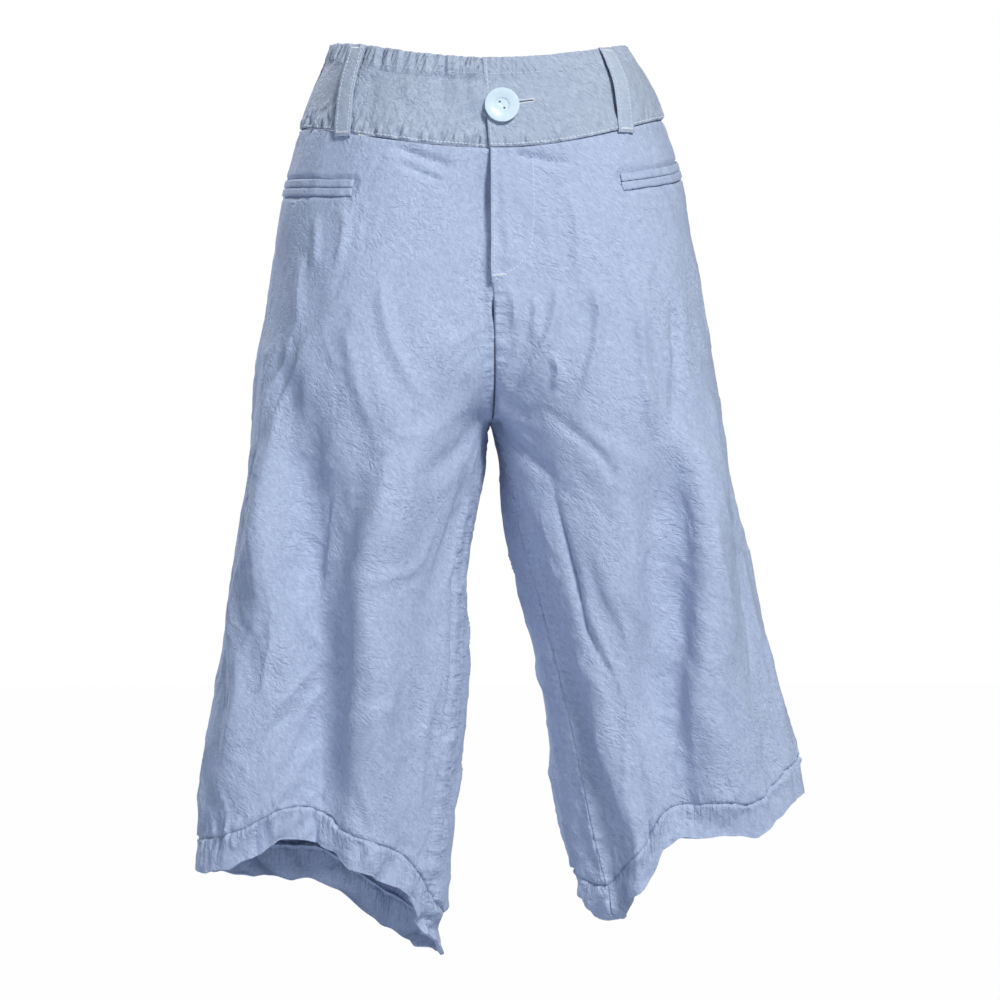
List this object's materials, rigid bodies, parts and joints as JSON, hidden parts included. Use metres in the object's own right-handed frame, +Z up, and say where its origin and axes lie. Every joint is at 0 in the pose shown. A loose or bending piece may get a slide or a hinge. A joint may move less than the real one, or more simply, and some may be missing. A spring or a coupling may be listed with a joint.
{
  "type": "capri pants",
  "caption": "Wide-leg cropped linen trousers in the hollow form they take when worn, with a contoured waistband, fly front, welt pockets and belt loops.",
  "frame": {"origin": "middle of the waist opening, level with its highest edge, where the wearer's waist holds the garment", "axes": "+Z up, -Y to the wearer's front, +X to the wearer's left"},
  "size_m": [0.5064, 0.2511, 0.7609],
  "materials": {
    "linen": "washed, matte, finely crinkled plain weave",
    "linen_band": "matte plain weave over a stiffener, topstitched",
    "linen_trim": "matte plain weave, pressed and topstitched",
    "button": "polished pale shell"
  },
  "bodies": {
    "root": {"front_right": "linen", "front_left": "linen", "back_right": "linen", "back_left": "linen", "waistband_front_right": "linen_band", "waistband_front_left": "linen_band", "waistband_back": "linen_band", "belt_loop_front_right": "linen_trim", "belt_loop_front_left": "linen_trim", "belt_loop_side_back_right": "linen_trim", "belt_loop_side_back_left": "linen_trim", "belt_loop_centre_back": "linen_trim", "pocket_welt_upper_right": "linen_trim", "pocket_welt_lower_right": "linen_trim", "pocket_welt_upper_left": "linen_trim", "pocket_welt_lower_left": "linen_trim", "button": "button"}
  },
  "joints": []
}
